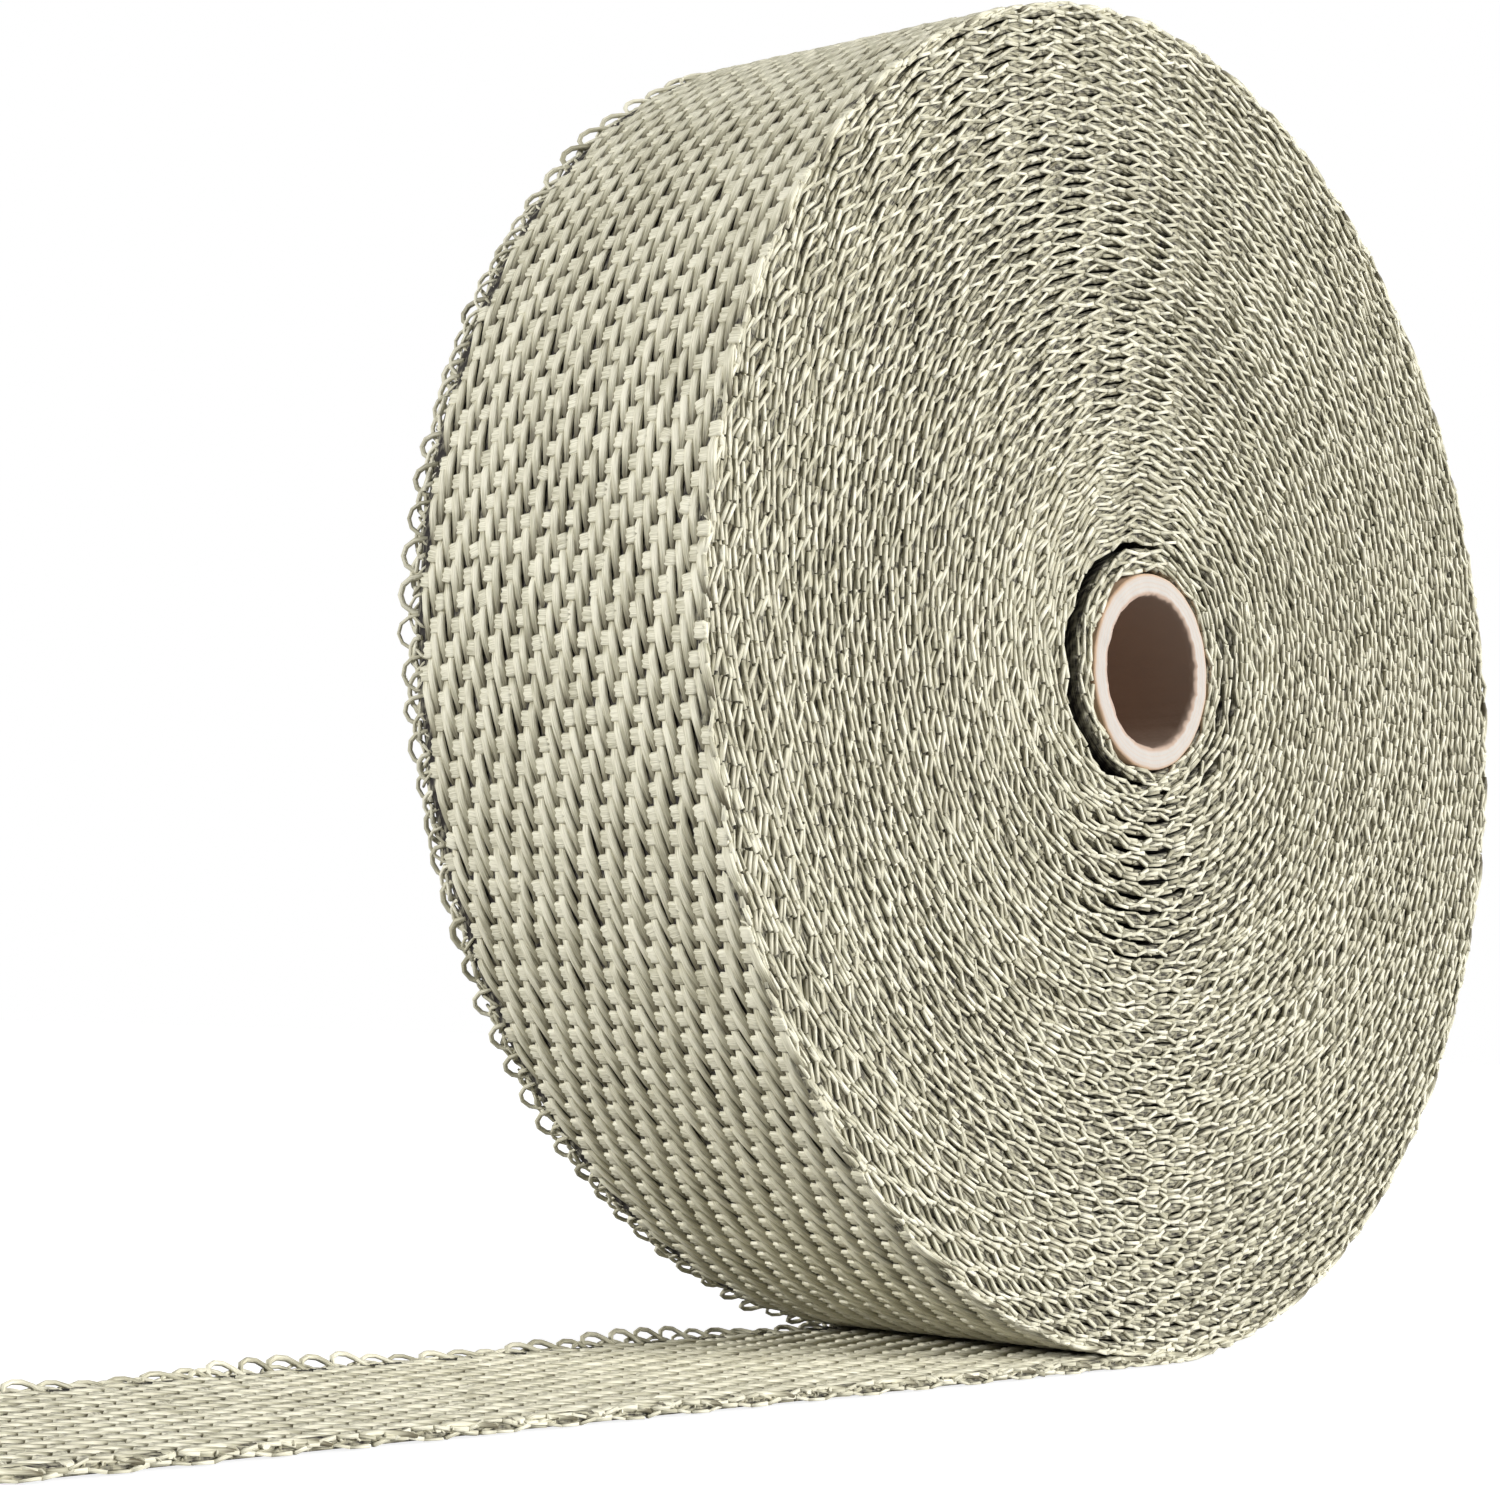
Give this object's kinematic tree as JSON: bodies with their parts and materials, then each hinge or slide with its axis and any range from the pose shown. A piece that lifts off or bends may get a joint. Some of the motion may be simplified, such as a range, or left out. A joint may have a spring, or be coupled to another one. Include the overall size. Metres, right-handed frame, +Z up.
{
  "type": "exhaust heat wrap roll",
  "caption": "Roll of woven glass-fibre exhaust heat wrap wound on a cardboard core, standing on its rim with its free end laid out flat.",
  "frame": {"origin": "on the floor straight below the roll's axis, at the middle of the tape's width", "axes": "+Z up; +Y along the roll's axis, away from the viewer; +X to the right, so the free end lies towards -X"},
  "size_m": [0.3285, 0.05, 0.177],
  "materials": {
    "woven_tape": "woven basalt and glass-fibre yarn, greenish khaki with paler weft, matt with a slight silky sheen",
    "core_board": "matt spiral-wound cardboard, pale cut ends and a brown bore"
  },
  "bodies": {
    "root": {"wrap_tape": "woven_tape", "core_tube": "core_board"}
  },
  "joints": []
}
